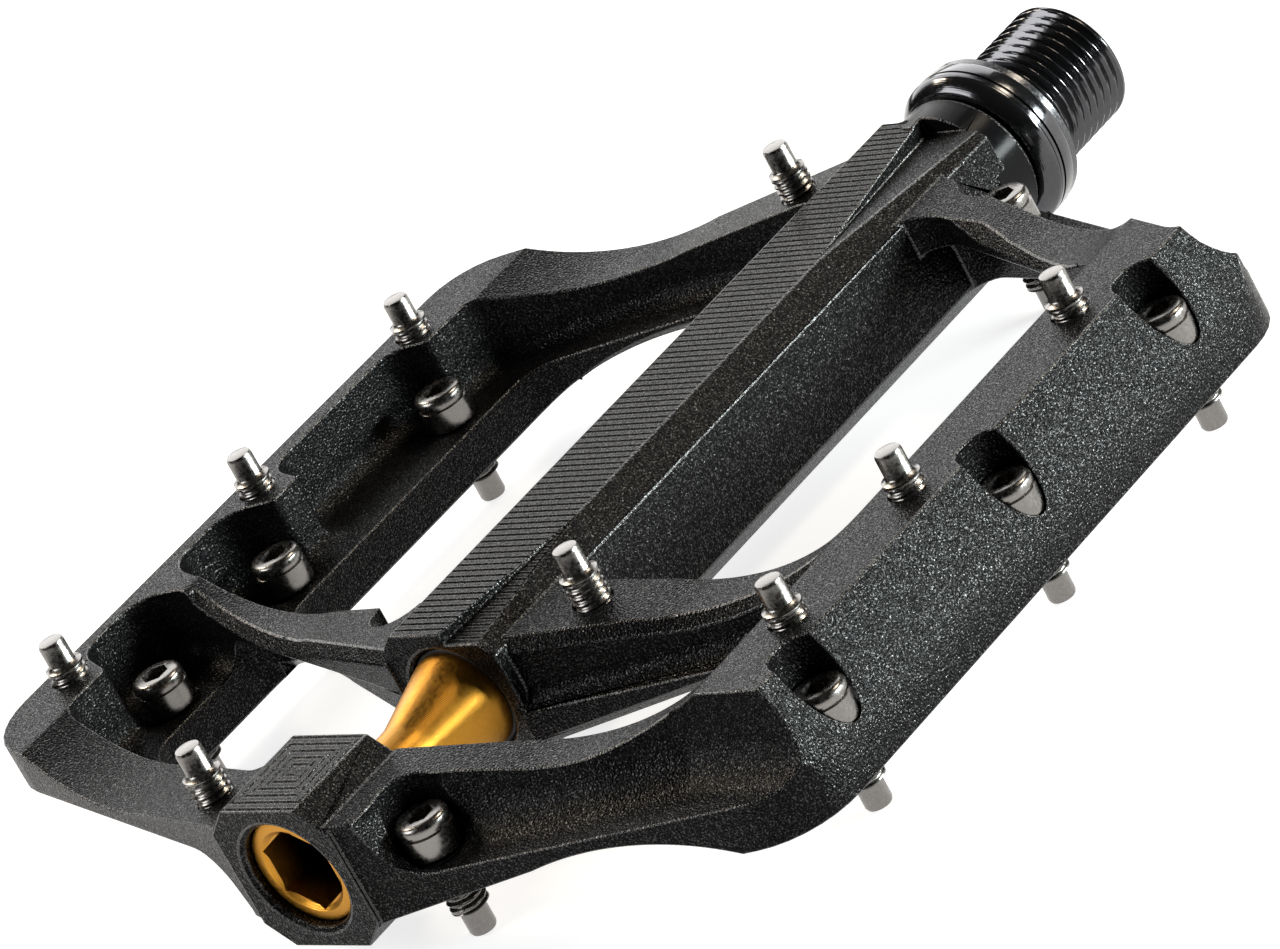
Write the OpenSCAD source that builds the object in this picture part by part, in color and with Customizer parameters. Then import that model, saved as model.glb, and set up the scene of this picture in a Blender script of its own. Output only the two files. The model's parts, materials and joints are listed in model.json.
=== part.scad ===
// Flat pedal for a 9/16 inch crank thread.
// +X points along the axle towards the crank, +Z is up through one tread face,
// and the origin is the centre of the washer's face that seats against the crank.
// The platform is the same after half a turn about X, so both faces are treads.
// Stations along the axle are measured from the end plug's outer face.

/* [Platform] */
// Distance from the axle to each side rail's outer face
half_w = 54; // [50:0.5:66]
// Thickness of the platform at the rails
plate_t = 13; // [11:0.5:16]
// Width of the hub and of the outboard boss
hub_w = 16; // [15:0.5:20]
// Height of the hub and of the boss
hub_h = 15.9; // [15:0.1:20]
// Half width of the hub's flat top
hub_flat = 5.15; // [4:0.05:6]
// Height at which the hub's sloping shoulders end
hub_shoulder_z = 5.3; // [4:0.1:6]
// Width of each rail's flat top
rail_w = 12.5; // [11:0.5:15]
// Width of the sloping outer face of a rail
facet_w = 4; // [3:0.5:5]
// Height at which the sloping face meets the rail's outer wall
facet_z = -1.95; // [-3:0.05:0]
// Depth of the milled pockets below the mid plane
pocket_below = 1.5; // [1:0.1:2]

/* [Tread dish] */
// Lowest height of the dished arms
dish_z = 2.9; // [2.5:0.1:4]
// Radius of the dish
dish_r = 30; // [25:1:40]
// Height of the arms where they meet the hub
arm_hub_z = 5.9; // [5:0.05:6.2]
// Distance from the pocketed rail's outer face to its edge of the dish
dish_from_pocket_rail = 8; // [7:0.5:10]
// Distance from the plain rail's outer face to its edge of the dish
dish_from_plain_rail = 11.8; // [11:0.1:12.4]

/* [Stations along the axle] */
// Outer face of the boss
boss_x0 = -1.2; // [-3:0.1:-0.6]
// Inner face of the boss
boss_x1 = 10.7; // [10:0.1:12]
// Outboard face of the hub
hub_x0 = 26; // [25:0.5:28]
// Where the hub's flats end
hub_flat_x1 = 113.2; // [112:0.1:114]
// Inboard face of the hub
hub_x1 = 116.6; // [116:0.1:116.7]
// Shoulder of the spindle
shoulder_x = 121; // [121:0.5:125]

/* [Traction pins] */
// Pin thread diameter
pin_d = 4; // [3.5:0.1:4.2]
// Pin tip diameter
pin_tip_d = 2.8; // [2.4:0.1:3]
// Pin head diameter
pin_head_d = 5.4; // [5:0.1:5.6]
// Pin head height
pin_head_h = 4.1; // [3.5:0.1:4.5]
// Length below the head
pin_len = 9.4; // [9:0.1:12]
// Length of the thread below the head
pin_thread_len = 6.4; // [6:0.1:8]
// Hex key size of the head, across flats
pin_key = 2.5; // [2:0.1:3]
// Depth of the key socket in the head
pin_key_depth = 1.8; // [1.5:0.1:2.5]
// Outer rail pins: distance from the rail's outer face
pin_outer_inset = 3.3; // [3.2:0.05:3.5]
// Inner rail pins: distance from the rail's outer face
pin_inner_inset = 8.5; // [8.3:0.1:8.8]
// Arm pins: distance from the axle
pin_arm_y = 13.4; // [13:0.1:14]

/* [Spindle] */
// Major diameter of the crank thread
thread_d = 14.29; // [14.29:0.01:14.29]
// Length of the crank thread
thread_len = 14.5; // [13:0.5:16]
// Flange diameter
flange_d = 19; // [17:0.5:20]
// Flange thickness
flange_t = 4; // [3.5:0.1:4]
// Washer thickness
washer_t = 1; // [0.8:0.1:1.5]
// Journal diameter in the plain bushing
journal_d = 10; // [9:0.1:10]
// Hex key size in the crank end, across flats
spindle_key = 8; // [6:1:8]
// Depth of that socket
spindle_key_depth = 9; // [7:0.5:11]

/* [Bearings] */
// Bore diameter of the bearing and bushing seats
seat_d = 12; // [12:0.1:12.6]
// Bearing bore and spindle end diameter
bearing_bore = 6; // [5.5:0.1:6]
// Bearing width
bearing_w = 4; // [3.5:0.1:4.2]
// Outboard face of the first bearing
bearing_x = 33.4; // [33.4:0.1:34]
// Gap between the two bearings
bearing_gap = 0.2; // [0.1:0.1:0.4]
// Ball diameter
ball_d = 1.588; // [1.4:0.001:1.7]
// Balls in each bearing
ball_count = 9; // [7:1:10]
// Bushing length
bushing_len = 13; // [10:0.5:15]

/* [End plug] */
// Plug head length inside the boss
plug_head_len = 8.6; // [7:0.1:9.5]
// Plug neck diameter
plug_neck_d = 7; // [6:0.1:7.6]
// Plug diameter at its flared end
plug_flare_d = 11; // [10:0.1:11.2]
// Hex key size of the plug, across flats
plug_key = 8; // [6:1:8]
// Depth of the plug's key socket
plug_key_depth = 7.5; // [6:0.5:8]

/* [Clearances] */
// Radial running clearance of the journal in the bushing
run_clear = 0.03; // [0.01:0.01:0.08]
// Radial clearance of a threaded or seated piece in its hole
seat_clear = 0.02; // [0.01:0.01:0.05]
// Radial gap between moving bearing pieces
ball_gap = 0.1; // [0.08:0.01:0.15]
// Gap between other moving pieces
move_gap = 0.3; // [0.3:0.05:0.5]

/* [Hidden] */
$fn = 96;

anodised_black = [0.10, 0.10, 0.11];
gold = [0.80, 0.55, 0.12];
steel = [0.62, 0.61, 0.59];
black_steel = [0.06, 0.06, 0.065];
bearing_steel = [0.72, 0.73, 0.75];
rubber = [0.05, 0.05, 0.05];
polymer = [0.85, 0.80, 0.62];
nylon = [0.15, 0.35, 0.75];

half_t = plate_t / 2;
hub_y = hub_w / 2;
hub_z = hub_h / 2;
rail_in = half_w - rail_w;
facet_y = half_w - facet_w;
// The arms and the pockets between them start inside the hub, under its sloping shoulders
root_y = (hub_flat + hub_y) / 2;
gap_y = (root_y + hub_y) / 2;
far = 40;
arc_steps = 6;

// Places of the pins: stations along the axle, head side down for the top pins
pin_outer_x = [23.45, 54.94, 82.35];
pin_inner_x = [28.74, 48.7, 77.19];
pin_arm_x = [5.18, 35.37, 105.64];
pin_outer_y = half_w - pin_outer_inset;
pin_inner_y = half_w - pin_inner_inset;
// The pin beside the inner arm stands on the other side from the outboard and inboard arms' pins
arm_sides = [1, -1, 1];
pin_seat_z = pocket_below;
pin_bevel = 0.35;
dish_lead = 1;
pin_groove = 0.3;
pin_rim = 1;
recess_clear = 0.25;
arm_recess_clear = 0.7;

// Plan edges: [station at the hub, station at the rail's inner edge]
boss_edge = [-0.6, 9.1];
inboard_edge = [111.1, 98.9];
pocket_side_outboard_rib = [8, 16.4];
plain_side_outboard_rib = [11.4, 20.3];
outboard_trough = [6, 17.2];
inner_arm_wall = [26, 35.8];
inner_arm_trough = [27.4, 39.8];
pocket_side_inner_arm = [34.4, 39.2];
plain_side_inner_arm = [37.6, 43.2];
pocket_side_inboard_rib = [103.5, 91];
plain_side_inboard_rib = [99.8, 86.5];
inboard_trough = [105.1, 92.8];
// The troughs are narrower near their floors, which keeps a wall between them and the far face's pockets
outboard_trough_step = 2;
inboard_trough_step = 1.3;
trough_shelf = 0.8;

// Seats along the hub
bearing_b_x = bearing_x + bearing_w + bearing_gap;
seat_end_x = bearing_b_x + bearing_w;
seal_t = 1.7;
seal_lip_t = 0.8;
bushing_x1 = hub_x1 - seal_t - seal_lip_t;
bushing_x0 = bushing_x1 - bushing_len;
bore_relief = 0.6;
seal_r = seat_d / 2 + 0.6;
seal_web = 0.5;
seal_lip_w = 0.6;

// Bearing proportions
pitch_r = (seat_d + bearing_bore) / 4;
// Distance from the balls' circle to each race, which leaves a groove that holds the balls
race_gap = 0.7;
shield_t = 0.25;
shield_inset = 0.15;
cage_wall = 0.5;
outer_race_r = pitch_r + race_gap;
inner_race_r = pitch_r - race_gap;
cage_w = 2;
cage_ball_gap = 0.05;

// Lock nut
nut_flats = 9;
nut_t = 3;
insert_t = 1.1;
nut_washer_t = 0.5;
nut_washer_d = 7.5;
insert_r = 3.9;

// Spindle steps
thread_chamfer = 0.9;
thread_relief = 0.8;
flange_cone_len = 1.2;
flange_cone = 1.1;
flange_groove = 0.35;
flange_groove_w = 0.35;
mid_d = 8.4;
taper_len = 8;
spindle_x0 = 28.8;
spindle_chamfer = 0.5;
spindle_step = 1.5;
washer_step = 0.2;
washer_slip = 0.15;

// Plug steps
plug_taper_len = 2;
plug_neck_end = 18;
plug_flare_x = 25.6;
plug_end_x = 28.2;
plug_hollow_d = 8;
plug_hollow_len = 2.2;
o_ring_x = 27;
o_ring_d = 0.9;
bore_lip = 0.5;
plug_chamfer = 0.4;
socket_lead = 0.3;

// Shallow wedges cut from the edge of the hub's flat top: [station, distance from the axle, depth]
wedge_deep_in = [112.6, 0, 1.8];
wedge_thin_in = [87, 5.2, 0];
wedge_deep_out = [26, 1.8, 1.2];
wedge_thin_out = [46, 5.2, 0];

function unit(v) = v / norm(v);

// Station of an edge at a distance y from the axle
function at(edge, y) = edge[0] + (edge[1] - edge[0]) * (y - hub_y) / (rail_in - hub_y);
function on(edge, y, r = 0) = [at(edge, y), y, r];

// Points of the arc that rounds the corner b between a and c with radius b[2]
function corner(a, b, c) =
    let (p = [b[0], b[1]],
        u = unit([a[0], a[1]] - p),
        v = unit([c[0], c[1]] - p),
        half = acos(min(1, max(-1, u * v))) / 2,
        start = p + u * b[2] / tan(half),
        end = p + v * b[2] / tan(half),
        centre = p + unit(u + v) * b[2] / sin(half),
        a0 = atan2(start[1] - centre[1], start[0] - centre[0]),
        turn = atan2(end[1] - centre[1], end[0] - centre[0]) - a0,
        sweep = turn > 180 ? turn - 360 : turn < -180 ? turn + 360 : turn)
    [for (i = [0 : arc_steps]) centre + b[2] * [cos(a0 + sweep * i / arc_steps), sin(a0 + sweep * i / arc_steps)]];

// Outline through [x, y, corner radius] points
function outline(p) = [for (i = [0 : len(p) - 1])
    each p[i][2] > 0 ? corner(p[(i + len(p) - 1) % len(p)], p[i], p[(i + 1) % len(p)]) : [[p[i][0], p[i][1]]]];

// Moves stations so that the origin is at the washer's outer face
module placed() {
    translate([-shoulder_x - washer_t, 0, 0]) children();
}

// A round rod along the axle between two stations
module rod(x0, x1, r0, r1) {
    translate([x0, 0, 0]) rotate([0, 90, 0]) cylinder(h = x1 - x0, r1 = r0, r2 = r1);
}

// A solid turned about the axle from [station, radius] points
module turned(points) {
    rotate([0, 90, 0]) rotate_extrude() polygon([for (p = points) [p[1], p[0]]]);
}

// A straight bar along the axle with a [y, z] section
module bar(x0, x1, section) {
    translate([x0, 0, 0]) rotate([90, 0, 90]) linear_extrude(x1 - x0) polygon(section);
}

// Adds the copy that half a turn about the axle gives
module both_faces() {
    children();
    rotate([180, 0, 0]) children();
}

// Eight-sided section of the hub and the boss
hub_section = [[-hub_y, -hub_shoulder_z], [-hub_flat, -hub_z], [hub_flat, -hub_z], [hub_y, -hub_shoulder_z],
    [hub_y, hub_shoulder_z], [hub_flat, hub_z], [-hub_flat, hub_z], [-hub_y, hub_shoulder_z]];

// Plan of the plate, its far half first and then the mirror image of that half
plan_corners = [[boss_x0, hub_y - 0.4, 0.5], on(boss_edge, hub_y + 0.6), [at(boss_edge, half_w), half_w, 9],
    [at(inboard_edge, half_w), half_w, 8], on(inboard_edge, hub_y)];
plan = outline(concat(plan_corners, [for (i = [len(plan_corners) - 1 : -1 : 0])
    [plan_corners[i][0], -plan_corners[i][1], plan_corners[i][2]]]));

// Pockets of the side whose rail is scalloped, seen from above
outboard_pocket = outline([[boss_x1, root_y, 0], on(pocket_side_outboard_rib, hub_y + 3, 2.4),
    on(pocket_side_outboard_rib, half_w - 7.6, 1.5), [pin_outer_x[0] + 1, half_w - 7.6, 0.8],
    [pin_outer_x[0] + 3.6, half_w - 1.5, 4.2], [at(inner_arm_wall, half_w - 1.5) - 2.4, half_w - 1.5, 4.2],
    on(inner_arm_wall, half_w - 6.8), on(inner_arm_wall, root_y)]);

main_pocket = outline([on(pocket_side_inner_arm, root_y, 4), on(pocket_side_inner_arm, half_w - 7),
    [at(pocket_side_inner_arm, half_w) + 0.8, half_w - 1.8, 4.6], [pin_outer_x[1] - 4, half_w - 1.8, 4.6],
    [pin_outer_x[1] - 2.4, half_w - 7.8, 0.9], [pin_outer_x[1] + 1.8, half_w - 7.8, 0.9],
    [pin_outer_x[1] + 3.4, half_w - 2.3, 3.6], [pin_outer_x[2] - 3.2, half_w - 2.3, 3.4],
    [pin_outer_x[2] - 2, half_w - 7, 0.8], [pin_outer_x[2] + 4.8, half_w - 7, 2],
    on(pocket_side_inboard_rib, rail_in), [97.1, 30, 12], on(pocket_side_inboard_rib, root_y, 3.5)]);

// Troughs and windows of the other side, seen from above
function outboard_trough_plan(inset) = outline([[-6, 10.4, 0], [3.4, 10.2, 0], [7.8 - inset, 10.6, 2.6],
    [13.3 - inset, 30, 14], [outboard_trough[1] - inset, 39, 5], [outboard_trough[1] - inset, half_w - 2, 0],
    [outboard_trough[1] - inset + 1.8, half_w + 2, 0], [-6, half_w + 2, 0]]);

outboard_window = outline([on(plain_side_outboard_rib, root_y), on(plain_side_outboard_rib, rail_in, 4.5),
    on(inner_arm_trough, rail_in, 2.5), on(inner_arm_trough, root_y)]);

main_window = outline([on(plain_side_inner_arm, root_y, 4), on(plain_side_inner_arm, rail_in, 3.5),
    on(plain_side_inboard_rib, rail_in, 5), [97.9, 14, 8], on(plain_side_inboard_rib, root_y, 4.5)]);

function inboard_trough_plan(inset) = outline([[at(inboard_trough, root_y) + inset, root_y, 0],
    [at(inboard_trough, half_w - 4.6) + inset, half_w - 4.6, 3],
    [at(inboard_trough, half_w - 4.6) + inset - 0.3, half_w - 0.7, 1.8], [98, half_w - 0.7, 0],
    [hub_flat_x1 - 2, root_y, 0]]);

// Wedge-shaped step in the edge of the hub's top: its floor runs from the surface down to a depth
module hub_wedge(deep, thin) {
    slope = atan(deep[2] / (deep[0] - thin[0]));
    intersection() {
        linear_extrude(far) polygon([[thin[0], -thin[1]], [deep[0], -deep[1]], [deep[0], -hub_y - 1],
            [thin[0], -hub_y - 1]]);
        translate([thin[0], -far, hub_z]) rotate([0, slope, 0]) translate([-far, 0, 0]) cube([2 * far, 2 * far, far]);
    }
}

// Dish across the arms: an arc by the rail that runs out in a nearly tangent line to the hub
module dish(edge_y) {
    rise = half_t - dish_z;
    centre_y = edge_y - sqrt(pow(dish_r, 2) - pow(dish_r - rise, 2));
    centre_z = dish_z + dish_r;
    reach = norm([centre_y - root_y, centre_z - arm_hub_z]);
    spread = asin(dish_r / reach) - dish_lead;
    aim = atan2(centre_z - arm_hub_z, centre_y - root_y) - spread;
    end = [root_y, arm_hub_z] + reach * cos(spread) * [cos(aim), sin(aim)];
    translate([0, centre_y, centre_z]) rod(boss_x0 - 1, hub_x1 - 1, dish_r, dish_r);
    bar(boss_x0 - 1, hub_x1 - 1, [[root_y, arm_hub_z], end, [end[0], half_t + 1], [root_y, half_t + 1]]);
}

// Everything that is milled away from one face of the plate
module milled_from_above() {
    translate([0, 0, -pocket_below]) linear_extrude(far) {
        polygon(outboard_pocket);
        polygon(main_pocket);
        mirror([0, 1]) {
            polygon(outboard_trough_plan(outboard_trough_step));
            polygon(outboard_window);
            polygon(main_window);
            polygon(inboard_trough_plan(inboard_trough_step));
        }
    }
    mirror([0, 1, 0]) translate([0, 0, pocket_below + trough_shelf]) linear_extrude(far) {
        polygon(outboard_trough_plan(0));
        polygon(inboard_trough_plan(0));
    }
    dish(half_w - dish_from_pocket_rail);
    mirror([0, 1, 0]) dish(half_w - dish_from_plain_rail);
    bar(0, hub_x1, [[-facet_y, half_t], [-half_w, facet_z], [-half_w - 1, facet_z], [-half_w - 1, half_t + 1],
        [-facet_y, half_t + 1]]);
}

module hub_wedges() {
    hub_wedge(wedge_deep_in, wedge_thin_in);
    hub_wedge(wedge_deep_out, wedge_thin_out);
}

// Seats of the pins whose tips point down: the recess for the head and the threaded hole
module pin_seat(x, y, recess_r) {
    translate([x, y, -pin_seat_z]) cylinder(h = far, r = recess_r);
    translate([x, y, -far]) cylinder(h = 2 * far, d = pin_d + 2 * seat_clear);
}

module pin_seats_below() {
    for (x = pin_outer_x) pin_seat(x, -pin_outer_y, pin_head_d / 2 + recess_clear);
    for (x = pin_inner_x) pin_seat(x, pin_inner_y, pin_head_d / 2 + recess_clear);
    for (i = [0 : 2]) pin_seat(pin_arm_x[i], -arm_sides[i] * pin_arm_y, pin_head_d / 2 + arm_recess_clear);
}

module plate() {
    intersection() {
        translate([0, 0, -half_t]) linear_extrude(plate_t) polygon(plan);
        bar(boss_x0, hub_x1, [[-half_w, -half_t], [half_w, -half_t], [half_w, half_t], [-half_w, half_t]]);
    }
}

module hub_and_boss() {
    bar(boss_x0, boss_x1, hub_section);
    intersection() {
        bar(hub_x0, hub_x1, hub_section);
        turned([[hub_x0, 0], [hub_x0, hub_w], [hub_flat_x1 - 1.6, hub_w], [hub_flat_x1, hub_y + 0.3],
            [hub_x1, hub_y + 0.1], [hub_x1, 0]]);
    }
    rod(hub_flat_x1 - 2, hub_x1 - 0.4, hub_y + 0.1, hub_y + 0.1);
    rod(hub_x1 - 0.4, hub_x1, hub_y + 0.1, hub_y - 0.3);
}

module hub_bore() {
    seat_r = seat_d / 2;
    rod(boss_x0 - 1, boss_x1 + 1, seat_r, seat_r);
    rod(boss_x0 - 0.01, boss_x0 + bore_lip, seat_r + bore_lip, seat_r);
    rod(hub_x0 - 1, seat_end_x, seat_r, seat_r);
    rod(hub_x0 - 0.01, hub_x0 + bore_lip, seat_r + bore_lip, seat_r);
    rod(seat_end_x - 1, bushing_x0 + 1, seat_r - bore_relief, seat_r - bore_relief);
    rod(bushing_x0, hub_x1 + 1, seat_r, seat_r);
    rod(bushing_x1 + seal_lip_t, hub_x1 + 1, seal_r, seal_r);
}

module pedal_body() {
    color(anodised_black) placed() difference() {
        union() {
            difference() {
                plate();
                translate([boss_x1, -gap_y, -far]) cube([hub_x0 - boss_x1, 2 * gap_y, 2 * far]);
                both_faces() milled_from_above();
            }
            hub_and_boss();
        }
        both_faces() hub_wedges();
        both_faces() pin_seats_below();
        hub_bore();
    }
}

module hex_socket(x, flats, depth) {
    rod(x - 1, x, flats / 2 + socket_lead, flats / 2 + socket_lead);
    translate([x - 1, 0, 0]) rotate([0, 90, 0]) rotate([0, 0, 30]) cylinder(h = depth + 1, d = flats / cos(30), $fn = 6);
    rod(x - 0.01, x + socket_lead, flats / 2 + 2 * socket_lead, flats / 2 + socket_lead);
}

// Cap that joins the boss to the hub across the open middle
module end_plug() {
    head_r = seat_d / 2 - seat_clear;
    neck_r = plug_neck_d / 2;
    flare_r = plug_flare_d / 2;
    groove_r = seat_d / 2 - seat_clear - o_ring_d - seat_clear;
    color(gold) placed() difference() {
        turned([[0, 0], [0, head_r - plug_chamfer], [plug_chamfer, head_r], [plug_head_len, head_r],
            [plug_head_len + plug_taper_len, neck_r], [plug_neck_end, neck_r], [plug_flare_x, flare_r],
            [o_ring_x - o_ring_d / 2, flare_r], [o_ring_x - o_ring_d / 2, groove_r],
            [o_ring_x + o_ring_d / 2, groove_r], [o_ring_x + o_ring_d / 2, flare_r],
            [plug_end_x, flare_r], [plug_end_x, 0]]);
        hex_socket(0, plug_key, plug_key_depth);
        rod(plug_end_x - plug_hollow_len, plug_end_x + 1, plug_hollow_d / 2, plug_hollow_d / 2);
    }
}

module plug_o_ring() {
    color(rubber) placed() translate([o_ring_x, 0, 0]) rotate([0, 90, 0]) rotate_extrude()
        translate([seat_d / 2 - seat_clear - o_ring_d / 2, 0]) circle(d = o_ring_d - 2 * seat_clear, $fn = 24);
}

// Axle, from the lock nut's thread to the crank thread
module spindle() {
    end_r = bearing_bore / 2 - seat_clear;
    journal_r = journal_d / 2;
    flange_r = flange_d / 2;
    thread_r = thread_d / 2;
    relief_r = thread_r - thread_relief;
    flange_x0 = shoulder_x - flange_t;
    thread_end = shoulder_x + thread_len;
    color(black_steel) placed() difference() {
        turned([[spindle_x0, 0], [spindle_x0, end_r - spindle_chamfer], [spindle_x0 + spindle_chamfer, end_r],
            [seat_end_x, end_r], [seat_end_x, nut_washer_d / 2], [seat_end_x + spindle_step, nut_washer_d / 2],
            [seat_end_x + 2 * spindle_step, mid_d / 2], [bushing_x0 - taper_len, mid_d / 2],
            [bushing_x0 - spindle_step, journal_r], [flange_x0, journal_r],
            [flange_x0, flange_r - flange_cone], [flange_x0 + flange_cone_len, flange_r],
            [flange_x0 + flange_cone_len + flange_groove_w, flange_r],
            [flange_x0 + flange_cone_len + flange_groove_w, flange_r - flange_groove],
            [flange_x0 + flange_cone_len + 2 * flange_groove_w, flange_r - flange_groove],
            [flange_x0 + flange_cone_len + 2 * flange_groove_w, flange_r],
            [shoulder_x, flange_r], [shoulder_x, relief_r], [shoulder_x + washer_t, relief_r],
            [shoulder_x + washer_t, thread_r], [thread_end - thread_chamfer, thread_r],
            [thread_end, thread_r - thread_chamfer], [thread_end, 0]]);
        translate([thread_end, 0, 0]) mirror([1, 0, 0]) hex_socket(0, spindle_key, spindle_key_depth);
    }
}

// Thin ring between the spindle's shoulder and the crank
module pedal_washer() {
    color(black_steel) placed() difference() {
        rod(shoulder_x, shoulder_x + washer_t, flange_d / 2 - washer_step, flange_d / 2 - washer_step);
        rod(shoulder_x - 1, shoulder_x + washer_t + 1, thread_d / 2 + washer_slip, thread_d / 2 + washer_slip);
    }
}

module bushing() {
    color(polymer) placed() difference() {
        rod(bushing_x0, bushing_x1, seat_d / 2 - seat_clear, seat_d / 2 - seat_clear);
        rod(bushing_x0 - 1, bushing_x1 + 1, journal_d / 2 + run_clear, journal_d / 2 + run_clear);
    }
}

// Lip seal in the crank end of the hub
module lip_seal() {
    x0 = bushing_x1 + seal_lip_t;
    x1 = hub_x1 - seat_clear;
    outer = seal_r - seat_clear;
    lip_r = journal_d / 2 + move_gap;
    color(rubber) placed()
        turned([[x0, lip_r + seal_web], [x0, outer], [x1, outer], [x1, lip_r], [x1 - seal_lip_w, lip_r],
            [x1 - seal_lip_w, lip_r + seal_web]]);
}

module outer_race(x) {
    color(bearing_steel) placed() difference() {
        rod(x, x + bearing_w, seat_d / 2 - seat_clear, seat_d / 2 - seat_clear);
        rod(x - 1, x + bearing_w + 1, outer_race_r, outer_race_r);
        ball_track(x);
    }
}

module inner_race(x) {
    color(bearing_steel) placed() difference() {
        rod(x, x + bearing_w, inner_race_r, inner_race_r);
        rod(x - 1, x + bearing_w + 1, bearing_bore / 2, bearing_bore / 2);
        ball_track(x);
    }
}

// Groove the balls run in, cut from both races
module ball_track(x) {
    translate([x + bearing_w / 2, 0, 0]) rotate([0, 90, 0]) rotate_extrude()
        translate([pitch_r, 0]) circle(ball_d / 2 + ball_gap, $fn = 32);
}

module ball_ring(x, r) {
    for (i = [0 : ball_count - 1]) rotate([360 / ball_count * i, 0, 0])
        translate([x + bearing_w / 2, 0, pitch_r]) sphere(r, $fn = 32);
}

module balls(x) {
    color(bearing_steel) placed() ball_ring(x, ball_d / 2);
}

module cage(x) {
    color(steel) placed() difference() {
        rod(x + (bearing_w - cage_w) / 2, x + (bearing_w + cage_w) / 2, pitch_r + cage_wall / 2,
            pitch_r + cage_wall / 2);
        rod(x, x + bearing_w, pitch_r - cage_wall / 2, pitch_r - cage_wall / 2);
        ball_ring(x, ball_d / 2 + cage_ball_gap);
    }
}

module shield(x) {
    difference() {
        rod(x, x + shield_t, outer_race_r - seat_clear, outer_race_r - seat_clear);
        rod(x - 1, x + shield_t + 1, inner_race_r + move_gap, inner_race_r + move_gap);
    }
}

module shields(x) {
    color(steel) placed() {
        shield(x + shield_inset);
        shield(x + bearing_w - shield_inset - shield_t);
    }
}

module bearing_a_outer_race() {
    outer_race(bearing_x);
}

module bearing_a_inner_race() {
    inner_race(bearing_x);
}

module bearing_a_balls() {
    balls(bearing_x);
}

module bearing_a_cage() {
    cage(bearing_x);
}

module bearing_a_shields() {
    shields(bearing_x);
}

module bearing_b_outer_race() {
    outer_race(bearing_b_x);
}

module bearing_b_inner_race() {
    inner_race(bearing_b_x);
}

module bearing_b_balls() {
    balls(bearing_b_x);
}

module bearing_b_cage() {
    cage(bearing_b_x);
}

module bearing_b_shields() {
    shields(bearing_b_x);
}

module nut_washer() {
    color(steel) placed() difference() {
        rod(bearing_x - nut_washer_t, bearing_x, nut_washer_d / 2, nut_washer_d / 2);
        rod(bearing_x - nut_washer_t - 1, bearing_x + 1, bearing_bore / 2, bearing_bore / 2);
    }
}

// Hexagonal nut with a pocket for its locking insert
module lock_nut() {
    x1 = bearing_x - nut_washer_t;
    x0 = x1 - nut_t;
    color(steel) placed() difference() {
        translate([x0, 0, 0]) rotate([0, 90, 0]) cylinder(h = nut_t, d = nut_flats / cos(30), $fn = 6);
        rod(x0 - 1, x1 + 1, bearing_bore / 2, bearing_bore / 2);
        rod(x0 - 1, x0 + insert_t, insert_r, insert_r);
    }
}

module nut_insert() {
    x0 = bearing_x - nut_washer_t - nut_t;
    color(nylon) placed() difference() {
        rod(x0, x0 + insert_t, insert_r - seat_clear, insert_r - seat_clear);
        rod(x0 - 1, x0 + insert_t + 1, bearing_bore / 2, bearing_bore / 2);
    }
}

// Pin that screws in from the far face, its tip pointing down
module pin(x, y) {
    head_r = pin_head_d / 2;
    rim_z = pin_head_h - pin_rim;
    tip_r = pin_tip_d / 2;
    translate([x, y, -pin_seat_z]) difference() {
        rotate_extrude() polygon([[0, -pin_len], [tip_r - pin_bevel, -pin_len], [tip_r, -pin_len + pin_bevel],
            [tip_r, -pin_thread_len - pin_bevel], [pin_d / 2, -pin_thread_len], [pin_d / 2, 0],
            [head_r - pin_bevel, 0], [head_r, pin_bevel], [head_r, rim_z - pin_groove],
            [head_r - pin_groove, rim_z - pin_groove], [head_r - pin_groove, rim_z], [head_r, rim_z],
            [head_r, pin_head_h - pin_bevel], [head_r - pin_bevel, pin_head_h], [0, pin_head_h]]);
        translate([0, 0, pin_head_h - pin_key_depth]) cylinder(h = pin_head_h, d = pin_key / cos(30), $fn = 6);
    }
}

module outer_rail_pins() {
    for (x = pin_outer_x) pin(x, -pin_outer_y);
}

module inner_rail_pins() {
    for (x = pin_inner_x) pin(x, pin_inner_y);
}

module arm_pins() {
    for (i = [0 : 2]) pin(pin_arm_x[i], -arm_sides[i] * pin_arm_y);
}

module bottom_outer_rail_pins() {
    color(steel) placed() outer_rail_pins();
}

module bottom_inner_rail_pins() {
    color(steel) placed() inner_rail_pins();
}

module bottom_arm_pins() {
    color(steel) placed() arm_pins();
}

module top_outer_rail_pins() {
    color(steel) placed() rotate([180, 0, 0]) outer_rail_pins();
}

module top_inner_rail_pins() {
    color(steel) placed() rotate([180, 0, 0]) inner_rail_pins();
}

module top_arm_pins() {
    color(steel) placed() rotate([180, 0, 0]) arm_pins();
}

pedal_body();
spindle();
pedal_washer();
end_plug();
plug_o_ring();
lip_seal();
bushing();
bearing_a_outer_race();
bearing_a_inner_race();
bearing_a_balls();
bearing_a_cage();
bearing_a_shields();
bearing_b_outer_race();
bearing_b_inner_race();
bearing_b_balls();
bearing_b_cage();
bearing_b_shields();
nut_washer();
lock_nut();
nut_insert();
top_outer_rail_pins();
top_inner_rail_pins();
top_arm_pins();
bottom_outer_rail_pins();
bottom_inner_rail_pins();
bottom_arm_pins();
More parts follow.
